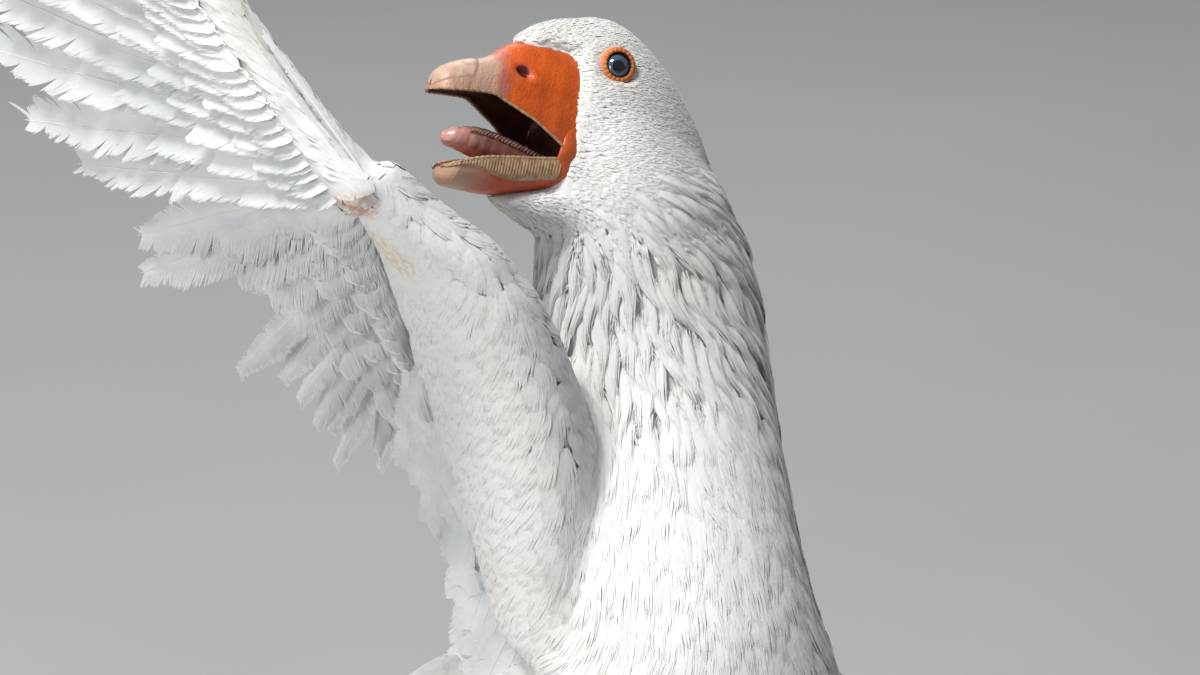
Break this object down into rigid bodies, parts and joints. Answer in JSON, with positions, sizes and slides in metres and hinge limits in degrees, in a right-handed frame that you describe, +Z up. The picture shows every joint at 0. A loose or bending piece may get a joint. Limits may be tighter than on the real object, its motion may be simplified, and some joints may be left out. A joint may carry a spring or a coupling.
{
  "type": "domestic goose, life-size still model",
  "caption": "White domestic goose standing and calling, bill open, right wing raised and left wing folded.",
  "frame": {"origin": "on the floor under the middle of the whole goose's box", "axes": "+Z up; the breast faces -Y and the tail +Y; the raised right wing is on the -X side"},
  "size_m": [0.4959, 0.6197, 0.965],
  "materials": {
    "plumage": "soft white body feathers over one skin, matt",
    "flight_feathers": "white wing and tail quills, matt with a faint sheen, slightly worn edges",
    "bill": "orange waxy bill skin with a soft gloss",
    "bill_nail": "pale pinkish horn, soft gloss",
    "tongue": "moist pink flesh",
    "eye": "grey-blue iris with a dark pupil, wet gloss",
    "leg_skin": "orange scaly skin, satin",
    "claw": "pale horn, satin"
  },
  "bodies": {
    "root": {"head": "plumage", "neck": "plumage", "trunk": "plumage", "tail": "plumage", "wing_right_arm": "plumage", "wing_right_hand": "plumage", "wing_left_arm": "plumage", "thigh_left": "plumage", "thigh_right": "plumage", "wing_right_alula": "flight_feathers", "wing_right_secondaries": "flight_feathers", "wing_right_tertials": "flight_feathers", "wing_right_primaries": "flight_feathers", "wing_left_secondaries": "flight_feathers", "wing_left_primaries": "flight_feathers", "tail_feathers": "flight_feathers", "bill_upper": "bill", "bill_lower": "bill", "bill_nail": "bill_nail", "tongue": "tongue", "eye_left": "eye", "eye_right": "eye", "shank_left": "leg_skin", "foot_left": "leg_skin", "claw_left_1": "claw", "claw_left_2": "claw", "claw_left_3": "claw", "shank_right": "leg_skin", "foot_right": "leg_skin", "claw_right_1": "claw", "claw_right_2": "claw", "claw_right_3": "claw"}
  },
  "joints": []
}
